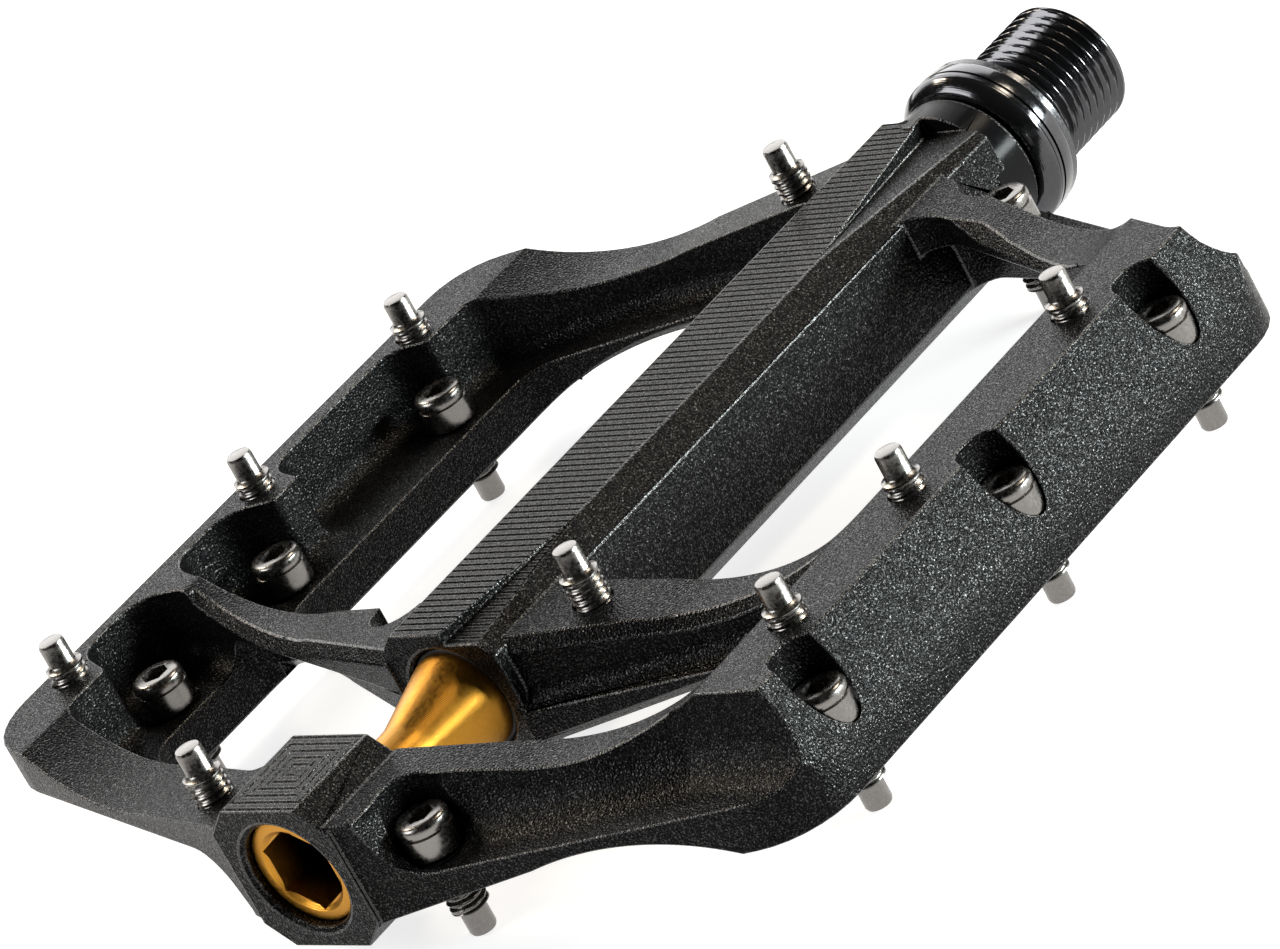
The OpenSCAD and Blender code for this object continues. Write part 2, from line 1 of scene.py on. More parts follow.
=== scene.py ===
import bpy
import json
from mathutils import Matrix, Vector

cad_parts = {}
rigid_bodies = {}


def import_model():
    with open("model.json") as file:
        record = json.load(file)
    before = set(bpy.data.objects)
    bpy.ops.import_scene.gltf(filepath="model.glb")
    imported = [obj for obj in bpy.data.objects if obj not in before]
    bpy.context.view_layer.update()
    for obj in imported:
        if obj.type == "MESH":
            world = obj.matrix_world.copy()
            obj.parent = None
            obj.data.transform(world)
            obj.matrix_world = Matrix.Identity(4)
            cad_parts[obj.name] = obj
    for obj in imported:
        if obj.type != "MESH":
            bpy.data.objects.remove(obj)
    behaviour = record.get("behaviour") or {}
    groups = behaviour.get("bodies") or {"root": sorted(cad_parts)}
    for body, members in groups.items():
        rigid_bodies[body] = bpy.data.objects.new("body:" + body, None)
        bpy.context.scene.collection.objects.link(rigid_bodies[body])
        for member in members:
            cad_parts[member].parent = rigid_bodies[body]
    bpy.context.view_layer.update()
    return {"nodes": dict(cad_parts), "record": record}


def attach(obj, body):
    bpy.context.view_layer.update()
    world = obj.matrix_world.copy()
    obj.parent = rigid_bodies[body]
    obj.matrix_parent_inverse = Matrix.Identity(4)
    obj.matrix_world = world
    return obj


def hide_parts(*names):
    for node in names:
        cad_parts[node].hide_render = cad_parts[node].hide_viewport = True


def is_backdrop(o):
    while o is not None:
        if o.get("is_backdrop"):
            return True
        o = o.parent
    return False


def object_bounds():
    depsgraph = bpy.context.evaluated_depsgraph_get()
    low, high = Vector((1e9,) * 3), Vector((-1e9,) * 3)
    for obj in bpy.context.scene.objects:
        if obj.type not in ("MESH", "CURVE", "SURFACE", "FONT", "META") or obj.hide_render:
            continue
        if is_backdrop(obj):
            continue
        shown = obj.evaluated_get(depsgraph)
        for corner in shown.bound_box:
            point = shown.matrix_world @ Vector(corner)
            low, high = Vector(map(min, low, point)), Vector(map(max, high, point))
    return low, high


bl_info = {
    "name": "Flat Pedal",
    "version": (1, 0, 0),
    "blender": (4, 5, 0),
    "location": "View3D > Sidebar > Pedal",
    "description": "Builds a milled flat pedal with its pins, end plug and spindle",
    "category": "Object",
}

import json
import math

import bmesh
import bpy
from bpy.props import FloatProperty, FloatVectorProperty, PointerProperty
from mathutils import Matrix, Vector

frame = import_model()

MM = 0.001
# Stations along the axle, in millimetres from the end plug's outer face:
# the origin at the washer's crank-side face, and the spindle's shoulder
ORIGIN = 122.0
SHOULDER = 121.0


# ---------------------------------------------------------------- settings

class PedalSizes(bpy.types.PropertyGroup):
    """Sizes of the platform, in millimetres"""

    half_width: FloatProperty(name="Half width", description="Axle to the outer face of a rail", default=54.0)
    half_thickness: FloatProperty(name="Half thickness", description="Mid plane to a rail's top", default=6.5)
    hub_half_width: FloatProperty(name="Hub half width", description="Axle to the hub's side", default=8.0)
    hub_half_height: FloatProperty(name="Hub half height", description="Axle to the hub's flat top", default=7.95)
    hub_flat: FloatProperty(name="Hub flat", description="Half width of the hub's flat top", default=5.15)
    hub_shoulder: FloatProperty(name="Hub shoulder", description="Height where the hub's slopes end", default=5.3)
    rail_width: FloatProperty(name="Rail width", description="Width of a side rail", default=12.5)
    pocket_depth: FloatProperty(name="Pocket depth", description="Pocket floor below the mid plane", default=1.5)
    floor_radius: FloatProperty(name="Floor radius", description="Fillet between a pocket's wall and floor",
                                default=2.4)
    trough_radius: FloatProperty(name="Trough radius", description="Fillet along the floor of a trough", default=3.4)
    edge_width: FloatProperty(name="Edge width", description="Width of the broken edges", default=0.16)


class PinSizes(bpy.types.PropertyGroup):
    """Sizes of the traction pins, in millimetres"""

    head_radius: FloatProperty(name="Head radius", description="Radius of the pin's head", default=2.7)
    head_height: FloatProperty(name="Head height", description="Height of the pin's head", default=4.1)
    shaft_radius: FloatProperty(name="Thread radius", description="Radius over the thread's crests", default=2.0)
    thread_length: FloatProperty(name="Thread length", description="Length of the thread", default=6.4)
    tip_radius: FloatProperty(name="Tip radius", description="Radius of the smooth tip", default=1.4)
    length: FloatProperty(name="Length", description="Length below the head", default=9.4)
    pitch: FloatProperty(name="Pitch", description="Pitch of the pin's thread", default=0.7)


class SpindleSizes(bpy.types.PropertyGroup):
    """Sizes of the spindle, in millimetres"""

    thread_radius: FloatProperty(name="Thread radius", description="Radius over the thread's crests", default=7.145)
    thread_depth: FloatProperty(name="Thread depth", description="Depth of the crank thread", default=0.72)
    pitch: FloatProperty(name="Pitch", description="Pitch of the crank thread", default=1.27)
    thread_length: FloatProperty(name="Thread length", description="Shoulder to the end of the thread", default=14.5)


class Finish(bpy.types.PropertyGroup):
    """Colours of the finishes"""

    anodised: FloatVectorProperty(name="Anodised", description="Black anodised metal", subtype="COLOR",
                                  default=(0.0055, 0.0054, 0.006))
    gold: FloatVectorProperty(name="Gold", description="Gold anodised metal", subtype="COLOR",
                              default=(0.50, 0.235, 0.03))
    pin: FloatVectorProperty(name="Pin", description="Steel of the pins", subtype="COLOR", default=(0.22, 0.21, 0.20))
    spindle: FloatVectorProperty(name="Spindle", description="Blackened steel of the spindle", subtype="COLOR",
                                 default=(0.07, 0.07, 0.075))


# ---------------------------------------------------------------- plan outlines

def unit(v):
    """The vector's direction."""
    return v / v.length


def corner(a, b, c, radius, steps=8):
    """Points of the arc that rounds the corner b between a and c."""
    a, b, c = Vector(a), Vector(b), Vector(c)
    u, v = unit(a - b), unit(c - b)
    half = u.angle(v) / 2
    start = b + u * radius / math.tan(half)
    end = b + v * radius / math.tan(half)
    centre = b + unit(u + v) * radius / math.sin(half)
    a0 = math.atan2(start.y - centre.y, start.x - centre.x)
    turn = math.atan2(end.y - centre.y, end.x - centre.x) - a0
    turn = (turn + math.pi) % (2 * math.pi) - math.pi
    n = max(3, int(round(abs(math.degrees(turn)) / 90 * steps, 2) + 0.5))
    return [(centre.x + radius * math.cos(a0 + turn * i / n), centre.y + radius * math.sin(a0 + turn * i / n))
            for i in range(n + 1)]


def outline(points):
    """Plan outline through (x, y, corner radius) points."""
    out = []
    for i, p in enumerate(points):
        q, r = points[i - 1], points[(i + 1) % len(points)]
        if p[2] > 0:
            out += corner(q[:2], p[:2], r[:2], p[2])
        else:
            out.append((p[0], p[1]))
    return out


def edge_at(edge, y, half_width, rail_width, hub):
    """Station along the axle of a slanted arm edge, at a distance y from the axle."""
    return edge[0] + (edge[1] - edge[0]) * (y - hub) / (half_width - rail_width - hub)


# ---------------------------------------------------------------- mesh helpers

def new_object(name, bm):
    """An object in the scene made from the bmesh, which is freed."""
    mesh = bpy.data.meshes.new(name)
    bm.to_mesh(mesh)
    bm.free()
    obj = bpy.data.objects.new(name, mesh)
    bpy.context.scene.collection.objects.link(obj)
    return obj


def remove(obj):
    """Delete an object and its mesh."""
    mesh = obj.data
    bpy.data.objects.remove(obj)
    bpy.data.meshes.remove(mesh)


def inset(points, d):
    """The outline's corner points moved inwards by d. Rounded corners keep their centres."""
    turned_area = sum(p[0] * q[1] - q[0] * p[1] for p, q in zip(points, points[1:] + points[:1]))
    side = 1 if turned_area > 0 else -1
    out = []
    for i, (x, y, r) in enumerate(points):
        b = Vector((x, y))
        u, v = unit(b - Vector(points[i - 1][:2])), unit(Vector(points[(i + 1) % len(points)][:2]) - b)
        normal, after = Vector((-u.y, u.x)) * side, Vector((-v.y, v.x)) * side
        bisector = unit(normal + after)
        b += bisector * (d / bisector.dot(normal))
        convex = (u.x * v.y - u.y * v.x) * side > 0
        out.append((b.x, b.y, r if r == 0 else max(0.02, r - d) if convex else r + d))
    return out


def prism(points, z0, z1, floor=0.0, draft=0.0, knee=4.5, segments=6):
    """Closed solid on an outline of (x, y, corner radius) points. The rim of its lower face is rounded
    with the floor radius, and its walls lean in below the knee by the draft for each millimetre."""
    levels = [(z0, 0.0), (z1, 0.0)]
    if floor:
        turns = [math.pi / 2 * i / segments for i in range(segments + 1)]
        levels = [(z0 + floor * (1 - math.cos(a)), floor * (1 - math.sin(a))) for a in turns] + [(z1, 0.0)]
    if draft:
        levels = sorted(levels + [(knee, 0.0)])
    bm = bmesh.new()
    rings = []
    for z, d in levels:
        corners = inset(points, d + draft * max(0.0, knee - z))
        rings.append([bm.verts.new((x, y, z)) for x, y in outline(corners)])
    bm.faces.new(rings[0])
    bm.faces.new(rings[-1])
    for low, high in zip(rings, rings[1:]):
        if len(low) != len(high):
            raise RuntimeError("an edge of the outline is shorter than the inset of %.2f mm allows" % floor)
        for i in range(len(low)):
            bm.faces.new((low[i - 1], low[i], high[i], high[i - 1]))
    bmesh.ops.recalc_face_normals(bm, faces=bm.faces)
    return bm


def bar(section, x0, x1):
    """Closed solid along the axle with a (y, z) section."""
    bm = bmesh.new()
    face = bm.faces.new([bm.verts.new((x0, y, z)) for y, z in section])
    top = bmesh.ops.extrude_face_region(bm, geom=[face])
    verts = [v for v in top["geom"] if isinstance(v, bmesh.types.BMVert)]
    bmesh.ops.translate(bm, verts=verts, vec=(x1 - x0, 0, 0))
    bmesh.ops.recalc_face_normals(bm, faces=bm.faces)
    return bm


def turned(profile, steps=64):
    """Solid turned about Z from (radius, height) points, its ends on the axis or closed flat."""
    bm = bmesh.new()
    verts = [bm.verts.new((r, 0, z)) for r, z in profile]
    edges = [bm.edges.new((a, b)) for a, b in zip(verts, verts[1:])]
    bmesh.ops.spin(bm, geom=verts + edges, cent=(0, 0, 0), axis=(0, 0, 1), angle=2 * math.pi, steps=steps,
                   use_merge=True)
    bmesh.ops.remove_doubles(bm, verts=bm.verts, dist=1e-4)
    bmesh.ops.holes_fill(bm, edges=bm.edges, sides=0)
    bmesh.ops.recalc_face_normals(bm, faces=bm.faces)
    return bm


def place(bm, matrix):
    """The bmesh after the transform."""
    bmesh.ops.transform(bm, matrix=matrix, verts=bm.verts)
    return bm


ALONG_X = Matrix.Rotation(math.radians(90), 4, "Y")
HALF_TURN = Matrix.Rotation(math.pi, 4, "X")


def rod(x0, x1, r0, r1=None, steps=96):
    """Round bar or cone along the axle."""
    r1 = r0 if r1 is None else r1
    return place(turned([(r0, x0), (r1, x1)], steps), ALONG_X)


def hexagon(x0, x1, flats):
    """Hexagonal bar along the axle, point up."""
    r = flats / math.sqrt(3)
    return bar([(r * math.sin(math.radians(60 * i)), r * math.cos(math.radians(60 * i))) for i in range(6)], x0, x1)


def combine(base, tools, operation):
    """The base after a boolean with every tool at once."""
    group = bpy.data.collections.new("tools")
    for i, bm in enumerate(tools):
        obj = new_object("tool%d" % i, bm)
        bpy.context.scene.collection.objects.unlink(obj)
        group.objects.link(obj)
    bpy.context.scene.collection.children.link(group)
    mod = base.modifiers.new("combine", "BOOLEAN")
    mod.operation = operation
    mod.operand_type = "COLLECTION"
    mod.collection = group
    mod.solver = "EXACT"
    apply_modifiers(base)
    for obj in list(group.objects):
        remove(obj)
    bpy.data.collections.remove(group)


def apply_modifiers(obj):
    """Turn the object's modifiers into mesh."""
    bpy.context.view_layer.update()
    deps = bpy.context.evaluated_depsgraph_get()
    mesh = bpy.data.meshes.new_from_object(obj.evaluated_get(deps))
    old = obj.data
    obj.modifiers.clear()
    obj.data = mesh
    bpy.data.meshes.remove(old)


def settle(obj):
    """From millimetres measured at the end plug to metres measured at the washer's face."""
    obj.data.transform(Matrix.Scale(MM, 4) @ Matrix.Translation((-ORIGIN, 0, 0)))
    obj.data.update()


def smooth(obj, angle=32.0):
    """Smooth shading with sharp edges above an angle."""
    obj.data.shade_smooth()
    obj.data.set_sharp_from_angle(angle=math.radians(angle))


# ---------------------------------------------------------------- finishes

class Nodes:
    """A material's node tree, with short ways to add and join nodes."""

    def __init__(self, name):
        self.material = bpy.data.materials.new(name)
        self.material.use_nodes = True
        self.tree = self.material.node_tree
        self.shader = self.tree.nodes["Principled BSDF"]
        self.where = self.add("ShaderNodeTexCoord").outputs["Object"]

    def add(self, kind, inputs=(), **settings):
        node = self.tree.nodes.new(kind)
        for key, value in settings.items():
            setattr(node, key, value)
        for key, value in dict(inputs).items():
            if isinstance(value, bpy.types.NodeSocket):
                self.tree.links.new(value, node.inputs[key])
            else:
                node.inputs[key].default_value = value
        return node

    def noise(self, scale, detail=2.0, roughness=0.5):
        return self.add("ShaderNodeTexNoise", {"Vector": self.where, "Scale": scale, "Detail": detail,
                                               "Roughness": roughness}).outputs["Fac"]

    def math(self, operation, a, b=0.0, c=0.0):
        return self.add("ShaderNodeMath", {0: a, 1: b, 2: c}, operation=operation).outputs[0]

    def ramp(self, value, low, high, out_low=0.0, out_high=1.0):
        return self.add("ShaderNodeMapRange", {"Value": value, "From Min": low, "From Max": high, "To Min": out_low,
                                               "To Max": out_high}).outputs["Result"]

    def bump(self, height, strength, distance, normal=None):
        inputs = {"Height": height, "Strength": strength, "Distance": distance}
        if normal is not None:
            inputs["Normal"] = normal
        return self.add("ShaderNodeBump", inputs).outputs["Normal"]

    def mix(self, factor, a, b):
        node = self.add("ShaderNodeMix", data_type="RGBA")
        for socket, value in ((node.inputs[0], factor), (node.inputs[6], a), (node.inputs[7], b)):
            if isinstance(value, bpy.types.NodeSocket):
                self.tree.links.new(value, socket)
            else:
                socket.default_value = value
        return node.outputs[2]

    def feed(self, **sockets):
        for key, value in sockets.items():
            socket = self.shader.inputs[key.replace("_", " ")]
            if isinstance(value, bpy.types.NodeSocket):
                self.tree.links.new(value, socket)
            else:
                socket.default_value = value
        return self.material


def rgba(colour, gain=1.0):
    """Colour with an alpha of one, made lighter or darker by the gain."""
    return (colour[0] * gain, colour[1] * gain, colour[2] * gain, 1.0)


def blasted(name, colour, edge=0.0, lines=None, grain_depth=0.00013, line_depth=0.00016):
    """Bead-blasted anodised metal: a fine leathery grain with small bright specks, a painted glint."""
    n = Nodes(name)
    grain = n.noise(4200.0, 1.0, 0.5)
    specks = n.ramp(n.noise(5200.0, 1.0, 0.6), 0.54, 0.72)
    broad = n.noise(60.0, 2.0)
    body = n.mix(broad, rgba(colour, 0.5), rgba(colour, 0.9))
    # Painted glint: the specks take a lighter colour than the metal, and the edge weight lightens them more, which on
    # the bevelled edges paints their highlight
    tint = n.mix(specks, body, rgba((0.022, 0.022, 0.021), 1.0 + 4 * edge))
    normal = n.bump(grain, 1.0, grain_depth)
    if lines is not None:
        normal = n.bump(lines(n), 1.0, line_depth, normal)
    rough = n.ramp(grain, 0.3, 0.7, 0.2, 0.3)
    gloss = n.ramp(specks, 0.0, 1.0, 0.05 + 0.5 * edge, 0.55 + 0.3 * edge)
    return n.feed(Base_Color=tint, Roughness=rough, Specular_IOR_Level=gloss, Normal=normal)


def strip_lines(n):
    """Fine cutter lines across the hub's flat top."""
    x = n.add("ShaderNodeSeparateXYZ", {0: n.where}).outputs[0]
    return n.math("SINE", n.math("MULTIPLY", x, 2 * math.pi / (0.95 * MM)))


def pad_lines(n):
    """Square rings left by the cutter on the boss pad."""
    split = n.add("ShaderNodeSeparateXYZ", {0: n.where})
    dx = n.math("ABSOLUTE", n.math("SUBTRACT", split.outputs[0], (5.0 - ORIGIN) * MM))
    dy = n.math("ABSOLUTE", split.outputs[1])
    return n.math("SINE", n.math("MULTIPLY", n.math("MAXIMUM", dx, dy), 2 * math.pi / (1.05 * MM)))


def polished(name, colour, metallic=1.0, roughness=0.2, scratch=0.15, coat=0.0, ring=0.0, deep=None,
             gloss=0.5):
    """Turned or polished metal with faint wear, fine turning rings and painted shade that darkens a socket where
    wanted.
    The socket runs between two stations."""
    n = Nodes(name)
    wear = n.noise(2600.0, 2.0, 0.55)
    tint = n.mix(n.ramp(wear, 0.35, 0.65), rgba(colour, 0.92), rgba(colour, 1.06))
    # Painted shade: the socket's inside goes nearly black from its mouth inwards, where little light reaches
    if deep:
        x = n.add("ShaderNodeSeparateXYZ", {0: n.where}).outputs[0]
        start, end = ((station - ORIGIN) * MM for station in deep)
        socket_shade = n.math("MULTIPLY", n.ramp(x, start, start + 3 * MM), n.ramp(x, end, end - 0.5 * MM))
        tint = n.mix(socket_shade, tint, rgba(colour, 0.03))
    rough = n.ramp(wear, 0.3, 0.7, roughness * (1 - scratch * 2), roughness * (1 + scratch * 2))
    normal = n.bump(wear, 0.05, 0.00002)
    if ring:
        x = n.add("ShaderNodeSeparateXYZ", {0: n.where}).outputs[0]
        lathe = n.math("SINE", n.math("MULTIPLY", x, 2 * math.pi / (0.16 * MM)))
        normal = n.bump(lathe, ring, 0.00001, normal)
    n.shader.inputs["Coat Weight"].default_value = coat
    return n.feed(Base_Color=tint, Metallic=metallic, Roughness=rough, Normal=normal, Specular_IOR_Level=gloss)


def soft(name, colour, roughness):
    """Rubber or polymer with a fine moulded grain."""
    n = Nodes(name)
    grain = n.noise(3000.0, 2.0)
    tint = n.mix(grain, rgba(colour, 0.8), rgba(colour, 1.2))
    return n.feed(Base_Color=tint, Roughness=n.ramp(grain, 0.3, 0.7, roughness - 0.06, roughness + 0.06),
                  Normal=n.bump(grain, 0.3, 0.00003))


# ---------------------------------------------------------------- the platform

# How far the plate runs into the hub and the boss
SUNK = 1.4
BOSS = (-1.2, 10.7)
HUB = (26.0, 116.6)
FLAT_END = 113.2
BOSS_EDGE = (-0.6, 9.1)
INBOARD_EDGE = (111.1, 98.9)
POCKET_RIB_OUT = (8.0, 16.4)
PLAIN_RIB_OUT = (11.4, 20.3)
INNER_WALL = (25.9, 35.8)
INNER_TROUGH = (27.4, 39.8)
POCKET_INNER = (34.4, 39.2)
PLAIN_INNER = (37.6, 43.2)
POCKET_INBOARD = (103.5, 91.0)
PLAIN_INBOARD = (99.8, 86.5)
INBOARD_TROUGH = (105.1, 92.8)
PIN_OUTER_X = (23.45, 54.94, 82.35)
PIN_INNER_X = (28.74, 48.7, 77.19)
PIN_ARMS = ((5.18, 13.4), (35.37, -13.4), (105.64, 13.4))
PIN_OUTER_Y = 50.7
PIN_INNER_Y = 45.5
# Radii of the seats milled for the pins' heads: outer rail, inner rail, arms
PIN_SEAT_RADII = (2.95, 2.95, 3.4)
# The rail's slope: how far it reaches in from the outer face at the top, and its lower edge's height
FACET_RUN, FACET_LOW = 4, -1.95
# The bore's radius, its chamfers' radii at the tools' ends, and the lip seal's seat
BORE_RADIUS, BOSS_FLARE, HUB_FLARE, SEAL_RADIUS, SEAL_DEPTH = 6.0, 7.6, 7.4, 6.6, 1.7
# Wedges in the hub's flat top, each from its deep to its thin end as (station, distance, depth)
CRANK_WEDGE = ((112.95, 0, 1.83), (87, 5.2, -0.05))
PLUG_WEDGE = ((25.5, 1.7, 1.25), (46, 5.2, -0.05))
PLUG_WEDGE_END = 50.0
# Drafts of the walls of the outboard and inboard troughs, and the fillet along the inboard one
OUTBOARD_DRAFT, INBOARD_DRAFT, INBOARD_FILLET = 0.32, 0.2, 1.5
# How far a boolean tool reaches past what it cuts
REACH = 12
# Material slots of the platform
PLAIN, EDGE, STRIP, PAD, COLLAR = range(5)


def plate_plan(s):
    """Plan of the whole plate before it is milled."""
    at = lambda e, y: edge_at(e, y, s.half_width, s.rail_width, s.hub_half_width)
    w, h = s.half_width, s.hub_half_width
    half = [(BOSS[0] + 0.3, h - 0.4, 0.3), (at(BOSS_EDGE, h + 0.6), h + 0.6, 0), (at(BOSS_EDGE, w), w, 9),
            (at(INBOARD_EDGE, w), w, 8), (at(INBOARD_EDGE, h), h, 0)]
    return half + [(x, -y, r) for x, y, r in reversed(half)]


def pocket_plans(s):
    """Plans of what is milled from the top: two pockets by the scalloped rail, and on the other side
    a trough along the outboard arm, two windows and a trough along the inboard arm."""
    at = lambda e, y: edge_at(e, y, s.half_width, s.rail_width, s.hub_half_width)
    on = lambda e, y, r=0: (at(e, y), y, r)
    w, h = s.half_width, s.hub_half_width - SUNK
    rail = w - s.rail_width
    outboard = [(BOSS[1], h, 0), on(POCKET_RIB_OUT, h + 4.4, 2.5), on(POCKET_RIB_OUT, w - 7.6, 2.5),
                (PIN_OUTER_X[0] + 1, w - 7.6, 0.8), (PIN_OUTER_X[0] + 3.6, w - 1.5, 4.2),
                (at(INNER_WALL, w - 1.5) - 2.4, w - 1.5, 4.2), on(INNER_WALL, w - 6.8), on(INNER_WALL, h)]
    main = [on(POCKET_INNER, h, 4.4), on(POCKET_INNER, w - 7), (at(POCKET_INNER, w) + 0.8, w - 1.8, 4.6),
            (PIN_OUTER_X[1] - 4, w - 1.8, 4.6), (PIN_OUTER_X[1] - 2.4, w - 7.8, 0.9),
            (PIN_OUTER_X[1] + 1.8, w - 7.8, 0.9), (PIN_OUTER_X[1] + 3.4, w - 2.3, 3.6),
            (PIN_OUTER_X[2] - 3.2, w - 2.3, 3.4), (PIN_OUTER_X[2] - 2, w - 7, 0.8),
            (PIN_OUTER_X[2] + 4.8, w - 7, 2.5), on(POCKET_INBOARD, rail), (97.1, 30, 12), on(POCKET_INBOARD, h, 4)]
    trough = [(-14, 10.3, 0), (7.6, 10.3, 3.8), (13.3, 30, 14), (17.2, 39, 5), (18.4, w + 10, 0), (-14, w + 10, 0)]
    window = [on(PLAIN_RIB_OUT, h), on(PLAIN_RIB_OUT, rail, 4.5), on(INNER_TROUGH, rail, 2.5), on(INNER_TROUGH, h)]
    main_window = [on(PLAIN_INNER, h, 4.4), on(PLAIN_INNER, rail, 3.5), on(PLAIN_INBOARD, rail, 5), (97.9, 14, 8),
                   on(PLAIN_INBOARD, h, 4.8)]
    inboard = [on(INBOARD_TROUGH, h), (at(INBOARD_TROUGH, w) + 0.7, w - 0.6, 4.2), (112, w - 0.6, 0), (126, h, 0)]
    flip = lambda plan: [(x, -y, r) for x, y, r in plan]
    return (outboard, main, flip(trough), flip(window), flip(main_window), flip(inboard))


# Radius of the dish in the arms' tops, its lowest height, and the arms' height at the hub
DISH_RADIUS, DISH_LOW, ARM_HUB_Z = 30.0, 2.9, 5.9
# Distance from a rail's outer face to the top edge of the dish, on the pocketed side and on the sloping side
DISH_EDGE_FAR, DISH_EDGE_NEAR = 8, 11.8


def dish_profile(s, edge_y):
    """Centre of the dish's arc, and the end of the straight line that runs from it to the hub."""
    h, radius = s.hub_half_width - SUNK, DISH_RADIUS
    cy = edge_y - math.sqrt(radius ** 2 - (radius - s.half_thickness + DISH_LOW) ** 2)
    cz = DISH_LOW + radius
    reach = math.hypot(cy - h, cz - ARM_HUB_Z)
    spread = math.asin(radius / reach) - math.radians(0.4)
    aim = math.atan2(cz - ARM_HUB_Z, cy - h) - spread
    end = (h + reach * math.cos(spread) * math.cos(aim), ARM_HUB_Z + reach * math.cos(spread) * math.sin(aim))
    return (cy, cz), end


def dish_height(s, edge_y, y):
    """Height of an arm's top at a distance y from the axle."""
    (cy, cz), end = dish_profile(s, edge_y)
    h = s.hub_half_width - SUNK
    if y < end[0]:
        return ARM_HUB_Z + (end[1] - ARM_HUB_Z) * (y - h) / (end[0] - h)
    return min(s.half_thickness, cz - math.sqrt(max(0.0, DISH_RADIUS ** 2 - (y - cy) ** 2)))


def chamfer_tool(s, edge_y, side, path):
    """Wedge that bevels the edge of an arm's top along (station, distance, width) points. The arm lies on the
    crank's side of the edge."""
    bm = bmesh.new()
    sections = []
    for x, y, width in path:
        z = dish_height(s, edge_y, y)
        sections.append([bm.verts.new((x - 0.6, side * y, z - 0.9 * width - 0.55)),
                      bm.verts.new((x + width + 0.65, side * y, z + 0.6)), bm.verts.new((x - 0.6, side * y, z + 3))])
    bm.faces.new(sections[0])
    bm.faces.new(sections[-1])
    for a, b in zip(sections, sections[1:]):
        for i in range(3):
            bm.faces.new((a[i - 1], a[i], b[i], b[i - 1]))
    bmesh.ops.triangulate(bm, faces=bm.faces)
    bmesh.ops.recalc_face_normals(bm, faces=bm.faces)
    return bm


# Width of the arms' bevels, and of the bevel beside the window, which fades out at both its ends
ARM_BEVEL, WINDOW_BEVEL = 1.2, 1.7


def arm_chamfers(s):
    """Bevels on the outboard top edges of the two inner arms and on the inboard arm beside the window."""
    at = lambda e, y: edge_at(e, y, s.half_width, s.rail_width, s.hub_half_width)
    steps = [7 + i * 0.8 for i in range(50)]
    far = [(at(INNER_WALL, y), y, ARM_BEVEL) for y in steps if y < 46]
    near = [(at(INNER_TROUGH, y), y, ARM_BEVEL) for y in steps if y < 41.2]
    window = outline([(99.9, 5, 0), (97.9, 14, 10), (86.5, 41.5, 0)])
    inner = []
    for y in steps:
        if 13 < y < 38:
            a, b = next((p, q) for p, q in zip(window, window[1:]) if p[1] <= y <= q[1])
            width = WINDOW_BEVEL * min(1.0, max(0.05, (38 - y) / 22), (y - 12.6) / 5)
            inner.append((a[0] + (b[0] - a[0]) * (y - a[1]) / (b[1] - a[1]), y, width))
    far_edge, near_edge = s.half_width - DISH_EDGE_FAR, s.half_width - DISH_EDGE_NEAR
    return [lambda: chamfer_tool(s, far_edge, 1, far), lambda: chamfer_tool(s, near_edge, -1, near),
            lambda: chamfer_tool(s, near_edge, -1, inner)]


def dish_tools(s, edge_y, side):
    """An arc by the rail that runs out to the hub in a straight line."""
    radius, hub_z, h = DISH_RADIUS, ARM_HUB_Z, s.hub_half_width - SUNK
    (cy, cz), end = dish_profile(s, edge_y)
    flip = Matrix.Scale(side, 4, (0, 1, 0))
    arc = place(rod(-5, HUB[1] - 1, radius, steps=360), Matrix.Translation((0, cy, cz)))
    wedge = bar([(h, hub_z), end, (end[0], s.half_thickness + 3), (h, s.half_thickness + 3)], -5, HUB[1] - 1)
    out = []
    for bm in (arc, wedge):
        place(bm, flip)
        bmesh.ops.recalc_face_normals(bm, faces=bm.faces)
        out.append(bm)
    return out


def wedge_tool(s, deep, thin):
    """Shallow wedge in the edge of the hub's flat top. Its ends are (station, distance, depth)."""
    bm = bmesh.new()
    out_y, top = -s.hub_half_width - 1, s.hub_half_height + 4
    low = [bm.verts.new((x, y, s.hub_half_height - d)) for x, y, d in
           ((thin[0], -thin[1], thin[2]), (deep[0], -deep[1], deep[2]), (deep[0], out_y, deep[2]),
            (thin[0], out_y, thin[2]))]
    face = bm.faces.new(low)
    lid = bmesh.ops.extrude_face_region(bm, geom=[face])
    for v in lid["geom"]:
        if isinstance(v, bmesh.types.BMVert):
            v.co.z = top
    bmesh.ops.recalc_face_normals(bm, faces=bm.faces)
    return bm


def both_faces(makers):
    """Each tool and its copy after half a turn about the axle."""
    out = []
    for make in makers:
        out.append(make())
        out.append(place(make(), HALF_TURN))
    return out


def bottom_pin_places():
    """Pins whose tips point down: the sloping rail, the pocketed rail and the arms."""
    return ([(x, -PIN_OUTER_Y) for x in PIN_OUTER_X], [(x, PIN_INNER_Y) for x in PIN_INNER_X],
            [(x, -y) for x, y in PIN_ARMS])


